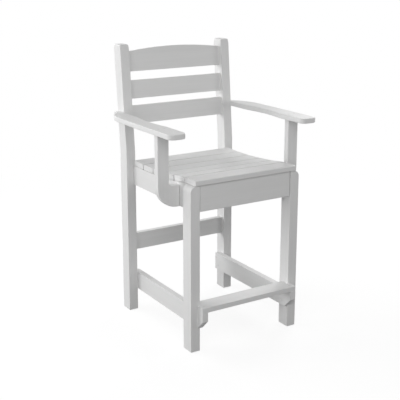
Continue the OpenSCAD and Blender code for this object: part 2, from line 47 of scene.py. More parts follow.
import bpy
import numpy as np
from bpy.props import FloatProperty, FloatVectorProperty, PointerProperty

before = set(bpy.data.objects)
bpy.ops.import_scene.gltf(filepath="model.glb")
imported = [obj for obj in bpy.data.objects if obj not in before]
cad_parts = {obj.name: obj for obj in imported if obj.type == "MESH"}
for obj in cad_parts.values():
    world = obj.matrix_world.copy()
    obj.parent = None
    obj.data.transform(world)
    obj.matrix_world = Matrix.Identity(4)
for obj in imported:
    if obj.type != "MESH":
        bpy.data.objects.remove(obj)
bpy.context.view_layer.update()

# How finely corners, edges, broad arcs, screws and the floor are divided
CORNER_STEPS = 8
EDGE_STEPS = 5
BROAD_STEPS = 40
SCREW_SIDES = 24
FLOOR_STEPS = 8

SEAT_SLATS = 6

# Crown of a screw head, as shares of the head's radius and of the crown's height
CROWN_FLAT = 0.72
CROWN_SHOULDER = (0.92, 0.6)

# Screws whose direction has at least this much z in it are drawn as upright ones
UPRIGHT = 0.9

# Angle between faces above which an edge of a screw is drawn sharp
SHARP_ANGLE = radians(35)

# Noise values between which the lumber's tint and its roughness go from end to end
TINT_BAND = (0.32, 0.68)
GRAIN_BAND = (0.3, 0.7)

# Spots per metre in the skin of the coated screws and of the bare steel ones
COAT_SCALE = 900.0
STEEL_SCALE = 1500.0

# Places of the first colour, the second colour and the result among a mix node's sockets
MIX_FIRST = 6
MIX_SECOND = 7
MIX_RESULT = 2

# Axes of a board's outline and thickness, for a board drawn from above, from the
# front or from the side: rows are the outline's two directions and the thickness
PLAN = np.array([[1.0, 0, 0], [0, 1, 0], [0, 0, 1]])
FRONT = np.array([[1.0, 0, 0], [0, 0, 1], [0, 1, 0]])
SIDE = np.array([[0.0, 1, 0], [0, 0, 1], [1, 0, 0]])

# The mirror that takes the right side to the left, and what each side is multiplied by
MIRROR = np.array([-1.0, 1, 1])
PAIR = (("left", MIRROR), ("right", np.ones(3)))


def length(name, description, default):
    """A size in metres that the sidebar shows."""
    return FloatProperty(name=name, description=description, default=default, unit="LENGTH", precision=4)


def share(name, description, default):
    """A factor from 0 to 1 that the sidebar shows."""
    return FloatProperty(
        name=name, description=description, default=default, subtype="FACTOR", min=0, max=1
    )


def colour(name, description, default):
    """A colour that the sidebar shows."""
    return FloatVectorProperty(
        name=name, description=description, default=default, subtype="COLOR", min=0, max=1
    )


def power(name, description, default):
    """A lamp's power in watts."""
    return FloatProperty(name=name, description=description, default=default, min=0, unit="POWER")


def angle(name, description, default):
    """An angle, kept in radians."""
    return FloatProperty(name=name, description=description, default=radians(default), unit="ROTATION")


class ChairSizes(bpy.types.PropertyGroup):
    """Sizes of the boards that the frame's nodes don't give by themselves"""

    edge: length("Edge", "Round-over along the edges of the frame boards", 0.0012)
    slat_edge: length("Slat edge", "Round-over along the edges between the seat slats", 0.001)
    slat_nose: length("Slat nose", "Round-over along the front edges of the front slat", 0.0035)
    slat_end: length("Slat end", "Round-over round the ends of the seat slats", 0.0012)
    apron_edge: length("Apron edge", "Round-over along the edges of the front apron", 0.0015)
    apron_room: length("Apron room", "Gap between the front apron and the legs", 0.002)
    bracket_room: length("Bracket room", "Gap between the brackets' feet and the side aprons", 0.0012)
    arm_edge: length("Arm edge", "Round-over along the edges of the arms", 0.003)
    corner_spare: length("Corner spare", "What a corner's radius has over its edge's", 0.0006)
    lean: angle("Lean", "Lean of the back from upright", 5)
    bend_height: length("Bend height", "Height at which the back legs start to lean", 0.664)
    bend_radius: length("Bend radius", "Radius of the bend in the back legs", 0.12)
    leg_top: length("Back leg top", "Round-over round the tops of the back legs", 0.006)
    front_top: length("Front leg top", "Radius on the outer top corners of the front legs", 0.022)
    slat_width: length("Slat width", "Width of a seat slat", 0.0715)
    slat_thickness: length("Slat thickness", "Thickness of the seat slats", 0.021)
    slat_room: length("Slat room", "Gap between the seat slats and the boards below them", 0.001)
    back_slat_thickness: length("Back slat thickness", "Thickness of the back slats", 0.019)
    scoop_depth: length("Scoop depth", "Depth of the scoop in the seat", 0.02)
    scoop_reach: length("Scoop reach", "From the front slat's rear edge to the scoop's lowest line", 0.284)
    crest_rise: length("Crest rise", "Rise of the top back slat's arched edge", 0.0145)
    crest_end: length("Crest end", "Height of the top back slat at the legs", 0.0765)
    back_slat_width: length("Back slat width", "Width of the lower and middle back slats", 0.0715)
    back_slat_rise: length("Back slat rise", "From the bend to the lowest back slat", 0.105)
    back_gap_lower: length("Lower gap", "Gap between the lower and middle back slats", 0.027)
    back_gap_upper: length("Upper gap", "Gap between the middle and top back slats", 0.0345)
    arm_corner: length("Arm corner", "Radius on the arms' front corners", 0.025)
    arm_tail_width: length("Arm tail width", "Width of the arms' tails", 0.0215)
    arm_tail: length("Arm tail", "Length of the straight part of the tails", 0.023)
    arm_curve: length("Arm curve", "Length of the curve from the full width to the tail", 0.117)
    arm_curve_corner: length("Arm curve corner", "Radius between the curve and the tail", 0.012)
    arm_hollow: length("Arm hollow", "Depth of the hollow in the arms' inner edges", 0.011)
    arm_hollow_length: length("Arm hollow length", "Length of the hollow", 0.226)
    arm_hollow_place: length("Arm hollow place", "From the arms' front ends to the hollow's middle", 0.2565)
    arm_hollow_corner: length("Arm hollow corner", "Radius where the hollow meets the straight edge", 0.06)
    bracket_width: length("Bracket width", "Width of the upright of an arm bracket", 0.0445)
    bracket_foot: length("Bracket foot", "Height of an arm bracket's foot", 0.081)
    bracket_outer: length("Bracket outer corner", "Radius on a bracket's outer bottom corner", 0.076)
    bracket_inner: length("Bracket inner corner", "Radius in a bracket's inner corner", 0.008)
    stretcher_cut: length("Stretcher cut", "Cut under the front ends of the side stretchers", 0.0365)
    notch_room: length("Notch room", "Room between the footrest's notches and the front legs", 0.0003)
    notch_corner: length("Notch corner", "Radius in the corners of the notches", 0.001)


class ScrewSizes(bpy.types.PropertyGroup):
    """Sizes of the screws whose heads show"""

    head: length("Head", "Radius of a screw head", 0.00475)
    shank: length("Shank", "Radius of a screw's shank", 0.0025)
    crown: length("Crown", "Height of a head's crown above the board", 0.0005)
    drive: length("Drive", "Half width of the square drive in a head", 0.0015)
    drive_depth: length("Drive depth", "Depth of the drive below the crown", 0.0018)
    point: length("Point", "Length of a screw's point", 0.006)
    arm_reach: length("Arm screw", "Length of the screws through the arms", 0.059)
    arm_spread: length("Arm spread", "From a bracket's middle to its screws", 0.012)
    tail_reach: length("Tail screw", "Length of the screws through the arms' tails", 0.0376)
    slat_pin_reach: length("Slat pin", "Length of the screws that pin the back slats", 0.0335)
    rail_pin_reach: length("Rail pin", "Length of the screws that pin the back rail", 0.036)
    pin_spread: length("Pin spread", "From a slat's middle to its pins", 0.02)
    stretcher_reach: length("Stretcher screw", "Length of the screws through the stretchers", 0.0425)
    stretcher_spread: length("Stretcher spread", "From a joint's middle to its screws, in depth", 0.008)
    stretcher_rise: length("Stretcher rise", "From a joint's middle to its screws, in height", 0.017)
    footrest_reach: length("Footrest screw", "Length of the screws through the footrest", 0.049)


class LumberFinish(bpy.types.PropertyGroup):
    """Finish of the plastic lumber"""

    pale: colour("Pale", "Colour of the lumber's pale streaks", (0.82, 0.82, 0.817))
    deep: colour("Deep", "Colour of the lumber's deeper streaks", (0.785, 0.785, 0.782))
    roughness: share("Roughness", "Roughness of the lumber", 0.46)
    roughness_swing: share("Roughness swing", "How far the grain moves the roughness either way", 0.07)
    shine: share("Shine", "Level of the lumber's highlights", 0.35)
    relief: length("Relief", "Depth of the embossed grain", 0.00012)
    streak_length: length("Streak length", "Length of a streak, along the board", 0.5)
    streak_width: length("Streak width", "Width of a streak", 0.012)
    grain_length: length("Grain length", "Length of a line of the grain, along the board", 0.07)
    grain_width: length("Grain width", "Width of a line of the grain", 0.0014)
    pit_size: length("Pit size", "Width of a small pit", 0.0016)
    grain_share: share("Grain share", "How much of the tint follows the grain, not the streaks", 0.45)
    pit_share: share("Pit share", "How much of the relief follows the pits, not the grain", 0.2)


class MetalFinish(bpy.types.PropertyGroup):
    """Finish of the screws"""

    coat: colour("Coat", "Colour of the coated screws", (0.76, 0.76, 0.755))
    coat_depth: share("Coat depth", "Level of the coat's deeper spots beside its colour", 0.94)
    coat_roughness: share("Coat roughness", "Roughness of the coated screws", 0.38)
    coat_relief: length("Coat relief", "Depth of the coat's uneven skin", 0.00005)
    steel: colour("Steel", "Colour of the bare steel screws", (0.56, 0.57, 0.58))
    steel_depth: share("Steel depth", "Level of the steel's deeper spots beside its colour", 0.85)
    steel_roughness: share("Steel roughness", "Roughness of the bare steel screws", 0.32)
    steel_swing: share("Steel swing", "How far the skin moves the roughness either way", 0.08)


class Studio(bpy.types.PropertyGroup):
    """Floor, lamps and camera"""

    side_power: power("Side lamp", "Power of the low lamp on the left, behind the chair", 40)
    key_power: power("Key lamp", "Power of the lamp in front, on the left", 20.5)
    left_power: power("Left lamp", "Power of the low lamp on the left, in front of the chair", 18)
    fill_power: power("Fill lamp", "Power of the low lamp on the right, in front of the chair", 19)
    rim_power: power("Rim lamp", "Power of the lamp on the right, behind the chair", 33.5)
    back_power: power("Back lamp", "Power of the lamp behind the chair, on the left", 30)
    lamp_size: length("Lamp size", "Diameter of every lamp", 1.9)
    lamp_distance: length("Lamp distance", "From every lamp to the middle of the chair", 3.2)
    aim_height: length("Aim height", "Height that the lamps point at", 0.55)
    ambient: share("Ambient", "Strength of the light from all round", 0.28)
    floor: share("Floor", "How much of the light the floor throws back", 0.12)
    floor_reach: length("Floor reach", "From the middle of the floor to its sides", 20)
    floor_drop: length("Floor drop", "Gap between the feet and the floor", 0.0002)
    shadow: share("Shadow", "How much of the floor's look near the chair is lit paper", 0.2)
    paper_level: share("Paper level", "How bright lit paper is near the chair, away from the shadow", 0.8)
    fade_start: length("Fade start", "Radius at which the shadow starts to fade", 0.9)
    fade_end: length("Fade end", "Radius at which the shadow has gone", 2.6)
    camera_place: FloatVectorProperty(
        name="Camera place",
        description="Where the camera stands",
        default=(-1.71475, -2.70288, 1.40113),
        subtype="TRANSLATION",
        unit="LENGTH",
    )
    camera_turn: angle("Camera turn", "Turn of the camera from straight ahead", 31.81)
    camera_tilt: angle("Camera tilt", "Tilt of the camera below the horizon", 14.41)
    camera_lens: FloatProperty(name="Lens", description="Focal length", default=76.66, unit="CAMERA")
    camera_shift: FloatProperty(
        name="Shift",
        description="Upward shift of the lens, as a share of the picture's width",
        default=-0.06,
        min=-1,
        max=1,
        subtype="FACTOR",
    )


def ends(node):
    """Lowest and highest corners of a node, as two arrays in metres."""
    low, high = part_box(node)
    return np.array(low), np.array(high)


def fillet(corners, radii):
    """Points along an outline with its corners rounded, their outward normals, how far
    an inset stretches at each, and which corner each belongs to.

    The outline runs anticlockwise. At a corner its direction turns by an angle. An arc
    of the corner's radius touches both sides at radius times tan(half the turn) from
    the corner. Its points are the arc's centre plus the radius times a normal that
    turns evenly, or minus it at an inner corner. A corner of radius 0 stays a single
    point with the normal half way, and an inset there stretches by
    1 / cos(half the turn), which keeps it parallel to both sides.
    """
    corners, radii = np.asarray(corners, float), np.asarray(radii, float)
    ahead = np.roll(corners, -1, 0) - corners
    ahead /= np.linalg.norm(ahead, axis=1, keepdims=True)
    behind = np.roll(ahead, 1, 0)
    turn = np.arctan2(
        behind[:, 0] * ahead[:, 1] - behind[:, 1] * ahead[:, 0], (behind * ahead).sum(1)
    )
    signed = np.where(turn < 0, -radii, radii)
    first = np.stack([behind[:, 1], -behind[:, 0]], 1)
    reach = radii * np.tan(np.abs(turn) / 2)
    centre = corners - behind * reach[:, None] - first * signed[:, None]
    part = np.linspace(0, 1, CORNER_STEPS + 1)[None, :]
    rounded = radii[:, None] > 0
    swing = turn[:, None] * np.where(rounded, part, 0.5)
    normal = np.stack(
        [
            first[:, None, 0] * np.cos(swing) - first[:, None, 1] * np.sin(swing),
            first[:, None, 0] * np.sin(swing) + first[:, None, 1] * np.cos(swing),
        ],
        2,
    )
    point = centre[:, None] + signed[:, None, None] * normal
    stretch = np.where(rounded, 1, 1 / np.cos(turn / 2)[:, None]) + np.zeros_like(swing)
    owner = np.arange(len(corners))[:, None] + np.zeros_like(swing, int)
    kept = rounded | (part == 0)
    return point[kept], normal[kept], stretch[kept], owner[kept]


def board(corners, radii, low, high, edge, axes, origin=(0, 0, 0)):
    """Vertices, faces and vertex normals of a board with rounded edges.

    The outline lies in the plane of the first two axes and is carried along the third
    from low to high. Near each face a quarter circle of the edge's radius draws the
    outline in: at angle t it is inset by edge * (1 - sin t) and stands
    edge * (1 - cos t) inside the face. Each face is closed by one flat polygon.
    """
    point, normal, stretch, owner = fillet(corners, radii)
    edge = np.broadcast_to(edge, len(corners))[owner]
    t = np.linspace(0, pi / 2, EDGE_STEPS + 1)[:, None]
    inset = ((1 - np.sin(t)) * edge * stretch)[:, :, None]
    rise = (1 - np.cos(t)) * edge
    flat = point[None] - normal[None] * inset
    bent = normal[None] * np.sin(t)[:, :, None]
    lower = np.dstack([flat, low + rise])
    upper = np.dstack([flat, high - rise])[::-1]
    lower_normal = np.dstack([bent, -np.cos(t) + 0 * edge])
    upper_normal = np.dstack([bent, np.cos(t) + 0 * edge])[::-1]
    grid = np.concatenate([lower, upper])
    normals = np.concatenate([lower_normal, upper_normal])
    rows, count = grid.shape[:2]
    ring = np.arange(count)
    here = (np.arange(rows - 1) * count)[:, None] + ring[None]
    after = (np.arange(rows - 1) * count)[:, None] + np.roll(ring, -1)[None]
    walls = np.stack([here, after, after + count, here + count], 2).reshape(-1, 4)
    caps = [ring[::-1], ring + (rows - 1) * count]
    if np.linalg.det(axes) < 0:
        walls = walls[:, ::-1]
        caps = [cap[::-1] for cap in caps]
    faces = walls.tolist() + [cap.tolist() for cap in caps]
    vertices = np.asarray(origin) + grid.reshape(-1, 3) @ axes
    return vertices, faces, normals.reshape(-1, 3) @ axes


def rectangle(low, high):
    """The four corners of an upright rectangle, anticlockwise."""
    return [(low[0], low[1]), (high[0], low[1]), (high[0], high[1]), (low[0], high[1])]


def arc(centre, radius, start, stop):
    """Points on an arc, from one angle to another: centre + radius * (cos a, sin a)."""
    swing = np.linspace(start, stop, BROAD_STEPS + 1)
    return np.asarray(centre) + radius * np.stack([np.cos(swing), np.sin(swing)], 1)


def arc_radius(half_chord, rise):
    """Radius of the arc that rises so far over half its chord."""
    return (half_chord**2 + rise**2) / (2 * rise)


def smooth_mesh(name, vertices, faces, material):
    """A smoothly shaded mesh in one material."""
    mesh = bpy.data.meshes.new(name)
    mesh.from_pydata(vertices.tolist(), [], faces)
    mesh.shade_smooth()
    mesh.materials.append(material)
    return mesh


def show(mesh, node):
    """Makes an object of a mesh, which stands in the place of a node."""
    piece = bpy.data.objects.new(mesh.name, mesh)
    bpy.context.scene.collection.objects.link(piece)
    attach(piece, "root")
    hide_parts(node)


def show_board(node, surface, run):
    """Shows a lumber board whose grain runs along the named axis."""
    vertices, faces, normals = surface
    mesh = smooth_mesh(node + "_board", vertices, faces, lumber(run))
    mesh.normals_split_custom_set_from_vertices(normals.tolist())
    show(mesh, node)


def add(tree, kind, inputs=None, **settings):
    """Adds a shader node. An input given as a socket is linked, and any other is set."""
    node = tree.nodes.new(kind)
    for key, value in settings.items():
        setattr(node, key, value)
    for key, value in (inputs or {}).items():
        if isinstance(value, bpy.types.NodeSocket):
            tree.links.new(value, node.inputs[key])
        else:
            node.inputs[key].default_value = value
    return node


def blend(tree, factor, first, second):
    """A colour that goes from the first to the second as the factor goes from 0 to 1."""
    mix = add(tree, "ShaderNodeMix", {"Factor": factor}, data_type="RGBA")
    mix.inputs[MIX_FIRST].default_value = (*first, 1)
    mix.inputs[MIX_SECOND].default_value = (*second, 1)
    return mix.outputs[MIX_RESULT]


def new_material(name):
    """A material, its node tree and its Principled shader."""
    material = bpy.data.materials.new(name)
    material.use_nodes = True
    return material, material.node_tree, material.node_tree.nodes["Principled BSDF"]


def lumber(run):
    """Plastic lumber whose embossed grain runs along x, y or z.

    Noise on the object's own coordinates, drawn out along the board, gives broad
    streaks and a fine grain; both tint the colour, and the grain also sets the
    roughness and the relief. Small pits are the same in all directions.
    """
    name = "lumber_" + run
    if name in bpy.data.materials:
        return bpy.data.materials[name]
    finish = bpy.context.scene.lumber_finish
    material, tree, skin = new_material(name)
    place = add(tree, "ShaderNodeTexCoord").outputs["Object"]
    split = add(tree, "ShaderNodeSeparateXYZ", {0: place}).outputs
    order = {"x": "XYZ", "y": "YXZ", "z": "ZXY"}[run]
    turned = add(tree, "ShaderNodeCombineXYZ", {i: split[axis] for i, axis in enumerate(order)}).outputs[0]

    def noise(along, across, detail):
        """Noise whose marks are so long along the board and so wide across it."""
        scale = (1 / along, 1 / across, 1 / across)
        drawn = add(tree, "ShaderNodeMapping", {"Vector": turned, "Scale": scale}).outputs[0]
        made = add(tree, "ShaderNodeTexNoise", {"Vector": drawn, "Scale": 1.0, "Detail": detail})
        return made.outputs["Fac"]

    streaks = noise(finish.streak_length, finish.streak_width, detail=2.0)
    grain = noise(finish.grain_length, finish.grain_width, detail=3.0)
    pits = noise(finish.pit_size, finish.pit_size, detail=1.0)
    mixed = add(tree, "ShaderNodeMix", {"Factor": finish.grain_share, "A": streaks, "B": grain})
    tint = add(
        tree,
        "ShaderNodeMapRange",
        {"Value": mixed.outputs["Result"], "From Min": TINT_BAND[0], "From Max": TINT_BAND[1]},
    )
    tree.links.new(blend(tree, tint.outputs[0], finish.deep, finish.pale), skin.inputs["Base Color"])
    rough = add(
        tree,
        "ShaderNodeMapRange",
        {"Value": grain, "From Min": GRAIN_BAND[0], "From Max": GRAIN_BAND[1],
         "To Min": finish.roughness + finish.roughness_swing,
         "To Max": finish.roughness - finish.roughness_swing},
    )
    tree.links.new(rough.outputs[0], skin.inputs["Roughness"])
    relief = add(tree, "ShaderNodeMix", {"Factor": finish.pit_share, "A": grain, "B": pits})
    bump = add(
        tree,
        "ShaderNodeBump",
        {"Height": relief.outputs["Result"], "Distance": finish.relief, "Strength": 1.0},
    )
    tree.links.new(bump.outputs[0], skin.inputs["Normal"])
    skin.inputs["Specular IOR Level"].default_value = finish.shine
    return material


def coated_metal():
    """Screw steel coated in the boards' colour, with a faint uneven skin."""
    name = "coated_metal"
    if name in bpy.data.materials:
        return bpy.data.materials[name]
    finish = bpy.context.scene.metal_finish
    material, tree, skin = new_material(name)
    place = add(tree, "ShaderNodeTexCoord").outputs["Object"]
    made = add(tree, "ShaderNodeTexNoise", {"Vector": place, "Scale": COAT_SCALE, "Detail": 1.0})
    spots = made.outputs["Fac"]
    deep = [finish.coat_depth * level for level in finish.coat]
    tree.links.new(blend(tree, spots, deep, finish.coat), skin.inputs["Base Color"])
    bump = add(tree, "ShaderNodeBump", {"Height": spots, "Distance": finish.coat_relief})
    tree.links.new(bump.outputs[0], skin.inputs["Normal"])
    skin.inputs["Roughness"].default_value = finish.coat_roughness
    return material


def screw_steel():
    """Bare stainless steel with a fine uneven skin."""
    name = "screw_steel"
    if name in bpy.data.materials:
        return bpy.data.materials[name]
    finish = bpy.context.scene.metal_finish
    material, tree, skin = new_material(name)
    place = add(tree, "ShaderNodeTexCoord").outputs["Object"]
    made = add(tree, "ShaderNodeTexNoise", {"Vector": place, "Scale": STEEL_SCALE, "Detail": 2.0})
    spots = made.outputs["Fac"]
    deep = [finish.steel_depth * level for level in finish.steel]
    tree.links.new(blend(tree, spots, deep, finish.steel), skin.inputs["Base Color"])
    rough = add(
        tree,
        "ShaderNodeMapRange",
        {"Value": spots, "To Min": finish.steel_roughness - finish.steel_swing,
         "To Max": finish.steel_roughness + finish.steel_swing},
    )
    tree.links.new(rough.outputs[0], skin.inputs["Roughness"])
    skin.inputs["Metallic"].default_value = 1.0
    return material


def screws(places, facing, reach, sizes):
    """Vertices and faces of alike screws with crowned heads and square drives.

    The heads lie at the given places and face the given ways. Rings run from the
    drive's floor over the crown, down the countersink and along the shank to the
    point. A ring's radius at angle a is r for a circle and r / max(|cos a|, |sin a|)
    for a square, and its height is along the screw.
    """
    head, shank, drive = sizes.head, sizes.shank, sizes.drive
    crown, floor = sizes.crown, sizes.crown - sizes.drive_depth
    profile = np.array([
        (drive, floor, 1),
        (drive, crown, 1),
        (CROWN_FLAT * head, crown, 0),
        (CROWN_SHOULDER[0] * head, CROWN_SHOULDER[1] * crown, 0),
        (head, 0, 0),
        (shank, shank - head, 0),
        (shank, sizes.point - reach, 0),
    ])
    a = np.arange(SCREW_SIDES) * 2 * pi / SCREW_SIDES
    square = 1 / np.maximum(np.abs(np.cos(a)), np.abs(np.sin(a)))
    radius = profile[:, :1] * np.where(profile[:, 2:] > 0, square[None], 1)
    height = profile[:, 1:2] + 0 * radius
    rings = np.stack([radius * np.cos(a), radius * np.sin(a), height], 2).reshape(-1, 3)
    one = np.concatenate([[[0, 0, floor]], rings, [[0, 0, -reach]]])
    out = np.asarray(facing, float)
    side = np.where(np.abs(out[:, 2:]) < UPRIGHT, [[0.0, 0, 1]], [[1.0, 0, 0]])
    across = np.cross(side, out)
    across /= np.linalg.norm(across, axis=1, keepdims=True)
    axes = np.stack([across, np.cross(out, across), out], 1)
    vertices = np.asarray(places)[:, None] + np.einsum("vi,sij->svj", one, axes)
    ring = np.arange(SCREW_SIDES)
    turn = np.roll(ring, -1)
    rows = 1 + SCREW_SIDES * np.arange(len(profile) - 1)[:, None]
    walls = np.stack(
        [rows + ring, rows + ring + SCREW_SIDES, rows + turn + SCREW_SIDES, rows + turn], 2
    ).reshape(-1, 4)
    last = 1 + SCREW_SIDES * (len(profile) - 1)
    start = np.stack([0 * ring, 1 + ring, 1 + turn], 1)
    stop = np.stack([0 * ring + len(one) - 1, last + turn, last + ring], 1)
    step = (np.arange(len(out)) * len(one))[:, None, None]
    faces = (walls[None] + step).reshape(-1, 4).tolist()
    faces += (np.concatenate([start, stop])[None] + step).reshape(-1, 3).tolist()
    return vertices.reshape(-1, 3), faces


def show_screws(node, places, facing, reach):
    """Shows a group of coated screws, on the right as given and mirrored on the left."""
    places, facing = np.asarray(places, float), np.asarray(facing, float)
    places = np.concatenate([places, places * MIRROR])
    facing = np.concatenate([facing, facing * MIRROR])
    vertices, faces = screws(places, facing, reach, bpy.context.scene.screw_sizes)
    mesh = smooth_mesh(node + "_set", vertices, faces, coated_metal())
    mesh.set_sharp_from_angle(angle=SHARP_ANGLE)
    show(mesh, node)


def leaned_axes(lean):
    """Axes of the leaning back: across, up along the legs, and to the rear."""
    return np.array([[1, 0, 0], [0, sin(lean), cos(lean)], [0, cos(lean), -sin(lean)]])


def bend_origin(sizes):
    """Where the back legs' front faces start to lean."""
    low, _ = ends("back_leg_right")
    return np.array([0, low[1], sizes.bend_height])


def leg_depth():
    """Depth of a leg from front to rear, which is the same for all four."""
    low, high = ends("front_leg_right")
    return high[1] - low[1]


def back_slat_starts(sizes):
    """Lower edges of the three back slats, along the legs from the bend."""
    middle = sizes.back_slat_rise + sizes.back_slat_width + sizes.back_gap_lower
    return np.array([sizes.back_slat_rise, middle, middle + sizes.back_slat_width + sizes.back_gap_upper])


class CHAIR_OT_front_legs(bpy.types.Operator):
    """Front legs, each with a round outer corner at its top"""

    bl_idname = "chair.front_legs"
    bl_label = "Front legs"

    def execute(self, context):
        sizes = context.scene.chair_sizes
        corner = sizes.edge + sizes.corner_spare
        low, high = ends("front_leg_right")
        outline = rectangle(low[[0, 2]], high[[0, 2]])
        radii = [corner, corner, sizes.front_top, corner]
        for side, mirror in PAIR:
            surface = board(outline, radii, low[1], high[1], sizes.edge, FRONT * mirror)
            show_board("front_leg_" + side, surface, "z")
        return {"FINISHED"}


class CHAIR_OT_back_legs(bpy.types.Operator):
    """Back legs, upright below the bend and leaning back above it"""

    bl_idname = "chair.back_legs"
    bl_label = "Back legs"

    def execute(self, context):
        sizes = context.scene.chair_sizes
        corner = sizes.edge + sizes.corner_spare
        top_corner = sizes.leg_top + sizes.corner_spare
        low, high = ends("back_leg_right")
        depth = leg_depth()
        front, rear = low[1], low[1] + depth
        top = high[2]
        lean, bend = sizes.lean, sizes.bend_height
        run = depth / cos(lean)
        # The wide round-over of the tops fades into the edges' narrow one over this height
        below = 3 * sizes.leg_top

        def front_at(z):
            """Place of the leaning front face at a height."""
            return front + (z - bend) * tan(lean)

        outline = [
            (front, 0),
            (rear, 0),
            (rear, bend - depth * tan(lean / 2)),
            (front_at(top - below) + run, top - below),
            (front_at(top) + run, top),
            (front_at(top), top),
            (front_at(top - below), top - below),
            (front, bend),
        ]
        radii = [corner, corner, sizes.bend_radius, 0, top_corner, top_corner, 0, sizes.bend_radius]
        edge = [sizes.edge] * 4 + [sizes.leg_top] * 2 + [sizes.edge] * 2
        for side, mirror in PAIR:
            surface = board(outline, radii, low[0], high[0], edge, SIDE * mirror)
            show_board("back_leg_" + side, surface, "z")
        return {"FINISHED"}


class CHAIR_OT_seat(bpy.types.Operator):
    """Six seat slats, each on the chord of the scoop below it"""

    bl_idname = "chair.seat"
    bl_label = "Seat slats"

    def execute(self, context):
        sizes = context.scene.chair_sizes
        leg_top = ends("front_leg_right")[1][2]
        low_line = leg_top - sizes.scoop_depth
        front_low, front_high = ends("seat_slat_1")
        start = front_low[1] + sizes.slat_width
        middle = start + sizes.scoop_reach
        big = arc_radius(sizes.scoop_reach, sizes.scoop_depth)

        def height(y):
            """Height of the scooped edge, which is level below the front slat."""
            return leg_top if y <= start else low_line + big - sqrt(big**2 - (y - middle) ** 2)

        last_high = ends(f"seat_slat_{SEAT_SLATS}")[1]
        pitch = (last_high[1] - front_low[1] - sizes.slat_width) / (SEAT_SLATS - 1)
        joint = sizes.slat_edge
        for i in range(SEAT_SLATS):
            nose = joint if i else sizes.slat_nose
            y = front_low[1] + i * pitch
            rise = height(y + sizes.slat_width) - height(y)
            tilt = np.arctan2(rise, sizes.slat_width)
            axes = np.array([[0, cos(tilt), sin(tilt)], [0, -sin(tilt), cos(tilt)], [1, 0, 0]])
            outline = rectangle((0, sizes.slat_room), (sizes.slat_width, sizes.slat_thickness))
            surface = board(
                outline,
                [nose, joint, joint, nose],
                front_low[0],
                front_high[0],
                sizes.slat_end,
                axes,
                (0, y, height(y)),
            )
            show_board(f"seat_slat_{i + 1}", surface, "x")
        return {"FINISHED"}


class CHAIR_OT_back(bpy.types.Operator):
    """Two straight back slats and the arched one above them"""

    bl_idname = "chair.back"
    bl_label = "Back slats"

    def execute(self, context):
        sizes = context.scene.chair_sizes
        corner = sizes.edge + sizes.corner_spare
        low, high = ends("back_slat_lower")
        rear = (leg_depth() + sizes.back_slat_thickness) / 2
        front = rear - sizes.back_slat_thickness
        axes, origin = leaned_axes(sizes.lean), bend_origin(sizes)
        lower_v, middle_v, top_v = back_slat_starts(sizes)
        for name, v in (("lower", lower_v), ("middle", middle_v)):
            outline = rectangle((low[0], v), (high[0], v + sizes.back_slat_width))
            surface = board(outline, [corner] * 4, front, rear, sizes.edge, axes, origin)
            show_board("back_slat_" + name, surface, "x")
        half = ends("back_leg_right")[0][0]
        big = arc_radius(half, sizes.crest_rise)
        centre = (0, top_v + sizes.crest_end + sizes.crest_rise - big)
        swing = np.arcsin(high[0] / big)
        crown = arc(centre, big, pi / 2 - swing, pi / 2 + swing)
        outline = [(low[0], top_v), (high[0], top_v), *crown]
        radii = [corner, corner, corner, *[0] * (len(crown) - 2), corner]
        surface = board(outline, radii, front, rear, sizes.edge, axes, origin)
        show_board("back_slat_top", surface, "x")
        return {"FINISHED"}


class CHAIR_OT_arms(bpy.types.Operator):
    """Arm boards: round front corners, a hollow inner edge and a narrow tail"""

    bl_idname = "chair.arms"
    bl_label = "Arms"

    def execute(self, context):
        sizes = context.scene.chair_sizes
        corner = sizes.arm_edge + sizes.corner_spare
        (inner, front, bottom), (outer, rear, top) = ends("arm_right")
        curve_y = rear - sizes.arm_tail - sizes.arm_curve
        drop = outer - inner - sizes.arm_tail_width
        big = arc_radius(sizes.arm_curve, drop)
        curve = arc((outer - big, curve_y), big, 0, np.arcsin(sizes.arm_curve / big))
        half = sizes.arm_hollow_length / 2
        hollow_r = arc_radius(half, sizes.arm_hollow)
        centre = (inner + sizes.arm_hollow - hollow_r, front + sizes.arm_hollow_place)
        swing = np.arcsin(half / hollow_r)
        hollow = arc(centre, hollow_r, swing, -swing)
        outline = [
            (inner, front),
            (outer, front),
            *curve,
            (inner + sizes.arm_tail_width, rear),
            (inner, rear),
            *hollow,
        ]
        radii = [
            sizes.arm_corner,
            sizes.arm_corner,
            *[0] * (len(curve) - 1),
            sizes.arm_curve_corner,
            corner,
            corner,
            *[0] * len(hollow),
        ]
        for side, mirror in PAIR:
            surface = board(outline, radii, bottom, top, sizes.arm_edge, PLAN * mirror)
            show_board("arm_" + side, surface, "y")
        return {"FINISHED"}


class CHAIR_OT_brackets(bpy.types.Operator):
    """J-shaped brackets, from the side aprons up to the arms"""

    bl_idname = "chair.brackets"
    bl_label = "Arm brackets"

    def execute(self, context):
        sizes = context.scene.chair_sizes
        corner = sizes.edge + sizes.corner_spare
        (apron, front, foot), (outer, rear, top) = ends("arm_bracket_right")
        inner = outer - sizes.bracket_width
        foot_top = foot + sizes.bracket_foot
        end = apron + sizes.bracket_room
        outline = [
            (end, foot),
            (outer, foot),
            (outer, top),
            (inner, top),
            (inner, foot_top),
            (end, foot_top),
        ]
        radii = [corner, sizes.bracket_outer, corner, corner, sizes.bracket_inner, corner]
        for side, mirror in PAIR:
            surface = board(outline, radii, front, rear, sizes.edge, FRONT * mirror)
            show_board("arm_bracket_" + side, surface, "z")
        return {"FINISHED"}


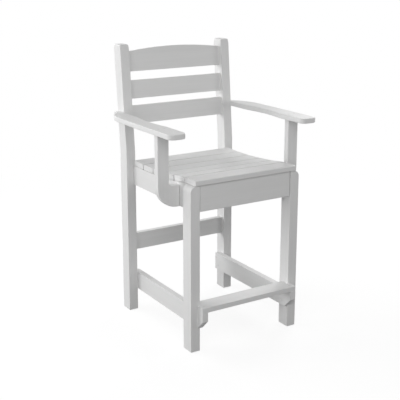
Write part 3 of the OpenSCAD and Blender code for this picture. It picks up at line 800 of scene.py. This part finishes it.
class CHAIR_OT_lower_frame(bpy.types.Operator):
    """Side stretchers with their front ends cut away below, footrest and back rail"""

    bl_idname = "chair.lower_frame"
    bl_label = "Stretchers, footrest and rail"

    def execute(self, context):
        sizes = context.scene.chair_sizes
        corner = sizes.edge + sizes.corner_spare
        low, high = ends("side_stretcher_right")
        front, bottom, rear, top = low[1], low[2], high[1], high[2]
        cut = sizes.stretcher_cut
        outline = [(front + cut, bottom), (rear, bottom), (rear, top), (front, top), (front, bottom + cut)]
        for side, mirror in PAIR:
            surface = board(outline, [corner] * 5, low[0], high[0], sizes.edge, SIDE * mirror)
            show_board("side_stretcher_" + side, surface, "y")
        low, high = ends("footrest")
        leg = ends("front_leg_right")[0]
        neck, shoulder = leg[0] - sizes.notch_room, leg[1] - sizes.notch_room
        outline = [
            (low[0], low[1]),
            (high[0], low[1]),
            (high[0], shoulder),
            (neck, shoulder),
            (neck, high[1]),
            (-neck, high[1]),
            (-neck, shoulder),
            (low[0], shoulder),
        ]
        notch = sizes.notch_corner
        radii = [corner, corner, corner, notch, corner, corner, notch, corner]
        show_board("footrest", board(outline, radii, low[2], high[2], sizes.edge, PLAN), "x")
        low, high = ends("back_rail")
        outline = rectangle(low[[0, 2]], high[[0, 2]])
        show_board("back_rail", board(outline, [corner] * 4, low[1], high[1], sizes.edge, FRONT), "x")
        return {"FINISHED"}


class CHAIR_OT_front_apron(bpy.types.Operator):
    """Front apron, with its edges just clear of the front legs"""

    bl_idname = "chair.front_apron"
    bl_label = "Front apron"

    def execute(self, context):
        sizes = context.scene.chair_sizes
        corner = sizes.apron_edge + sizes.corner_spare
        low, high = ends("front_apron")
        room = np.array([sizes.apron_room, 0])
        outline = rectangle(low[[0, 2]] + room, high[[0, 2]] - room)
        surface = board(outline, [corner] * 4, low[1], high[1], sizes.apron_edge, FRONT)
        show_board("front_apron", surface, "x")
        return {"FINISHED"}


class CHAIR_OT_seat_frame(bpy.types.Operator):
    """Finish of the side and rear aprons, the cleats and the screws under the seat"""

    bl_idname = "chair.seat_frame"
    bl_label = "Aprons, cleats and their screws"

    runs = {
        "side_apron_left": "y",
        "side_apron_right": "y",
        "seat_cleat_left": "y",
        "seat_cleat_right": "y",
        "rear_apron": "x",
    }
    hidden_screws = (
        "seat_slat_screws",
        "seat_cleat_screws",
        "apron_screws",
        "rear_apron_screws",
        "front_apron_screws",
        "arm_bracket_screws",
    )

    def execute(self, context):
        for node, run in self.runs.items():
            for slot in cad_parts[node].material_slots:
                slot.material = lumber(run)
        for node in self.hidden_screws:
            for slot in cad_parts[node].material_slots:
                slot.material = screw_steel()
        return {"FINISHED"}


class CHAIR_OT_arm_screws(bpy.types.Operator):
    """Screws down through the arms into the brackets, and sideways through their tails"""

    bl_idname = "chair.arm_screws"
    bl_label = "Arm screws"

    def execute(self, context):
        sizes, chair = context.scene.screw_sizes, context.scene.chair_sizes
        arm_low, arm_high = ends("arm_right")
        bracket_low, bracket_high = ends("arm_bracket_right")
        leg_low, _ = ends("back_leg_right")
        x = bracket_high[0] - chair.bracket_width / 2
        y = (bracket_low[1] + bracket_high[1]) / 2
        places = [(x + dx, y, arm_high[2]) for dx in (-sizes.arm_spread, sizes.arm_spread)]
        show_screws("arm_screws", places, [(0, 0, 1)] * 2, sizes.arm_reach)
        z = (arm_low[2] + arm_high[2]) / 2
        leg_front = leg_low[1] + (z - chair.bend_height) * tan(chair.lean)
        before_slats = (leg_depth() - chair.back_slat_thickness) / 2
        outer = (arm_low[0] + chair.arm_tail_width, arm_high[1] - chair.arm_tail / 2, z)
        inner = (leg_low[0], leg_front + before_slats / 2, z)
        show_screws("arm_tail_screws", [outer, inner], [(1, 0, 0), (-1, 0, 0)], sizes.tail_reach)
        return {"FINISHED"}


class CHAIR_OT_back_screws(bpy.types.Operator):
    """Screws through the rear faces of the back legs, into the back slats and the rail"""

    bl_idname = "chair.back_screws"
    bl_label = "Back screws"

    def execute(self, context):
        sizes, chair = context.scene.screw_sizes, context.scene.chair_sizes
        leg_low, _ = ends("back_leg_right")
        rail_low, rail_high = ends("back_rail")
        x = (leg_low[0] + rail_high[0]) / 2
        axes, origin = leaned_axes(chair.lean), bend_origin(chair)
        middles = back_slat_starts(chair) + np.array([chair.back_slat_width] * 2 + [chair.crest_end]) / 2
        spread = (-sizes.pin_spread, sizes.pin_spread)
        places = [origin + (x, v + dv, leg_depth()) @ axes for v in middles for dv in spread]
        show_screws("back_slat_screws", places, [axes[2]] * len(places), sizes.slat_pin_reach)
        z = (rail_low[2] + rail_high[2]) / 2
        places = [(x, leg_low[1] + leg_depth(), z + dz) for dz in spread]
        show_screws("back_rail_screws", places, [(0, 1, 0)] * 2, sizes.rail_pin_reach)
        return {"FINISHED"}


class CHAIR_OT_lower_screws(bpy.types.Operator):
    """Screws through the side stretchers into the legs, and down through the footrest"""

    bl_idname = "chair.lower_screws"
    bl_label = "Stretcher and footrest screws"

    def execute(self, context):
        sizes = context.scene.screw_sizes
        low, high = ends("side_stretcher_right")
        leg_low, leg_high = ends("front_leg_right")
        back_low, _ = ends("back_leg_right")
        z = (low[2] + high[2]) / 2
        middles = ((leg_low[1] + leg_high[1]) / 2, (back_low[1] + high[1]) / 2)
        dy, dz = sizes.stretcher_spread, sizes.stretcher_rise
        places = [(low[0], y + k * dy, z + k * dz) for y in middles for k in (-1, 1)]
        show_screws("stretcher_screws", places, [(-1, 0, 0)] * 4, sizes.stretcher_reach)
        rest_low, rest_high = ends("footrest")
        x = (leg_low[0] + low[0]) / 2
        overhang = leg_low[1] - rest_low[1]
        rows = (leg_low[1] - overhang / 2, (leg_low[1] + rest_high[1]) / 2)
        places = [(x, y, rest_high[2]) for y in rows]
        show_screws("footrest_screws", places, [(0, 0, 1)] * 2, sizes.footrest_reach)
        return {"FINISHED"}


class CHAIR_OT_stage(bpy.types.Operator):
    """Pale floor, soft lamps, a white surround and the camera"""

    bl_idname = "chair.stage"
    bl_label = "Stage"

    # Each lamp's turn round the chair from straight in front, and its elevation
    lamps = {
        "side": (-120, 8),
        "key": (-30, 30),
        "left": (-60, 8),
        "fill": (60, 8),
        "rim": (120, 30),
        "back": (-150, 30),
    }

    def execute(self, context):
        studio = context.scene.studio
        self.add_floor(studio)
        self.add_world(studio)
        for name, (turn, rise) in self.lamps.items():
            self.add_lamp(studio, name, radians(turn), radians(rise))
        self.add_camera(studio)
        return {"FINISHED"}

    @staticmethod
    def seen(tree):
        """1 for rays from the camera and for gloss and clear materials, else 0."""
        rays = add(tree, "ShaderNodeLightPath").outputs
        shown = rays["Is Camera Ray"]
        for other in ("Is Glossy Ray", "Is Transmission Ray"):
            either = add(tree, "ShaderNodeMath", {0: shown, 1: rays[other]}, operation="MAXIMUM")
            shown = either.outputs[0]
        return shown

    def add_floor(self, studio):
        """Floor that looks white and keeps a faint shadow, but throws back little light.

        Near the chair a share of what shows is paper lit by the lamps, and the rest is
        even white. The share falls to nothing from the inner to the outer radius.
        """
        steps = np.linspace(-studio.floor_reach, studio.floor_reach, FLOOR_STEPS + 1)
        x, y = np.meshgrid(steps, steps)
        points = np.stack([x, y, 0 * x - studio.floor_drop], 2).reshape(-1, 3)
        count = len(steps)
        first = (np.arange(count - 1)[:, None] * count + np.arange(count - 1)).reshape(-1)
        faces = np.stack([first, first + 1, first + count + 1, first + count], 1)
        mesh = bpy.data.meshes.new("floor")
        mesh.from_pydata(points.tolist(), [], faces.tolist())
        floor = bpy.data.objects.new("floor", mesh)
        bpy.context.scene.collection.objects.link(floor)
        material = bpy.data.materials.new("floor_paper")
        material.use_nodes = True
        tree = material.node_tree
        tree.nodes.remove(tree.nodes["Principled BSDF"])
        place = add(tree, "ShaderNodeTexCoord").outputs["Object"]
        away = add(tree, "ShaderNodeVectorMath", {0: place}, operation="LENGTH").outputs["Value"]
        part = add(
            tree,
            "ShaderNodeMapRange",
            {"Value": away, "From Min": studio.fade_start, "From Max": studio.fade_end,
             "To Min": studio.shadow, "To Max": 0.0},
            interpolation_type="SMOOTHSTEP",
        ).outputs[0]
        # 1 - part * level: the even white leaves room for what the lit paper adds
        even = add(
            tree, "ShaderNodeMath", {0: part, 1: -studio.paper_level, 2: 1.0}, operation="MULTIPLY_ADD"
        )
        plain = add(tree, "ShaderNodeBsdfDiffuse", {"Color": (studio.floor,) * 3 + (1,)})
        white = add(tree, "ShaderNodeEmission", {"Strength": even.outputs[0]})
        paper = add(tree, "ShaderNodeBsdfDiffuse", {"Color": part})
        shown = add(tree, "ShaderNodeAddShader", {0: white.outputs[0], 1: paper.outputs[0]})
        both = add(
            tree, "ShaderNodeMixShader", {0: self.seen(tree), 1: plain.outputs[0], 2: shown.outputs[0]}
        )
        tree.links.new(both.outputs[0], tree.nodes["Material Output"].inputs["Surface"])
        mesh.materials.append(material)

    def add_world(self, studio):
        """Adds the soft light from all round, which the camera and reflections see as white."""
        world = bpy.data.worlds.new("surround")
        bpy.context.scene.world = world
        world.use_nodes = True
        tree = world.node_tree
        soft = tree.nodes["Background"]
        soft.inputs["Color"].default_value = (1, 1, 1, 1)
        soft.inputs["Strength"].default_value = studio.ambient
        white = add(tree, "ShaderNodeBackground", {"Color": (1, 1, 1, 1), "Strength": 1.0})
        both = add(
            tree, "ShaderNodeMixShader", {0: self.seen(tree), 1: soft.outputs[0], 2: white.outputs[0]}
        )
        tree.links.new(both.outputs[0], tree.nodes["World Output"].inputs["Surface"])

    @staticmethod
    def add_lamp(studio, name, turn, rise):
        """Adds a round lamp on a sphere round the chair's middle, facing it."""
        data = bpy.data.lights.new(name + "_lamp", "AREA")
        data.shape = "DISK"
        data.size = studio.lamp_size
        data.energy = getattr(studio, name + "_power")
        lamp = bpy.data.objects.new(name + "_lamp", data)
        bpy.context.scene.collection.objects.link(lamp)
        out = np.array([cos(rise) * sin(turn), -cos(rise) * cos(turn), sin(rise)])
        lamp.location = out * studio.lamp_distance + (0, 0, studio.aim_height)
        lamp.rotation_euler = (pi / 2 - rise, 0, turn)

    @staticmethod
    def add_camera(studio):
        """Adds the scene's camera, and sets the plain view transform."""
        data = bpy.data.cameras.new("camera")
        data.lens = studio.camera_lens
        data.shift_y = studio.camera_shift
        camera = bpy.data.objects.new("camera", data)
        bpy.context.scene.collection.objects.link(camera)
        camera.location = studio.camera_place
        camera.rotation_euler = (pi / 2 - studio.camera_tilt, 0, -studio.camera_turn)
        bpy.context.scene.camera = camera
        bpy.context.scene.view_settings.view_transform = "Standard"


class CHAIR_PT_parts(bpy.types.Panel):
    """The chair's pieces and its stage, in the order in which they are made"""

    bl_label = "Counter chair"
    bl_space_type = "VIEW_3D"
    bl_region_type = "UI"
    bl_category = "Chair"

    def draw(self, context):
        for operator in OPERATORS:
            self.layout.operator(operator.bl_idname)
        for name in GROUPS:
            group = getattr(context.scene, name)
            for field in group.bl_rna.properties:
                if field.identifier not in ("rna_type", "name"):
                    self.layout.prop(group, field.identifier)


GROUPS = {
    "chair_sizes": ChairSizes,
    "screw_sizes": ScrewSizes,
    "lumber_finish": LumberFinish,
    "metal_finish": MetalFinish,
    "studio": Studio,
}
OPERATORS = (
    CHAIR_OT_front_legs,
    CHAIR_OT_back_legs,
    CHAIR_OT_front_apron,
    CHAIR_OT_seat_frame,
    CHAIR_OT_seat,
    CHAIR_OT_back,
    CHAIR_OT_arms,
    CHAIR_OT_brackets,
    CHAIR_OT_lower_frame,
    CHAIR_OT_arm_screws,
    CHAIR_OT_back_screws,
    CHAIR_OT_lower_screws,
    CHAIR_OT_stage,
)


def register():
    for item in (*GROUPS.values(), *OPERATORS, CHAIR_PT_parts):
        bpy.utils.register_class(item)
    for name, group in GROUPS.items():
        setattr(bpy.types.Scene, name, PointerProperty(type=group))


def unregister():
    for name in GROUPS:
        delattr(bpy.types.Scene, name)
    for item in (CHAIR_PT_parts, *reversed(OPERATORS), *reversed(list(GROUPS.values()))):
        bpy.utils.unregister_class(item)


def main():
    """Makes every piece and the stage."""
    register()
    bpy.ops.chair.front_legs()
    bpy.ops.chair.back_legs()
    bpy.ops.chair.front_apron()
    bpy.ops.chair.seat_frame()
    bpy.ops.chair.seat()
    bpy.ops.chair.back()
    bpy.ops.chair.arms()
    bpy.ops.chair.brackets()
    bpy.ops.chair.lower_frame()
    bpy.ops.chair.arm_screws()
    bpy.ops.chair.back_screws()
    bpy.ops.chair.lower_screws()
    bpy.ops.chair.stage()


if __name__ == "__main__":
    main()
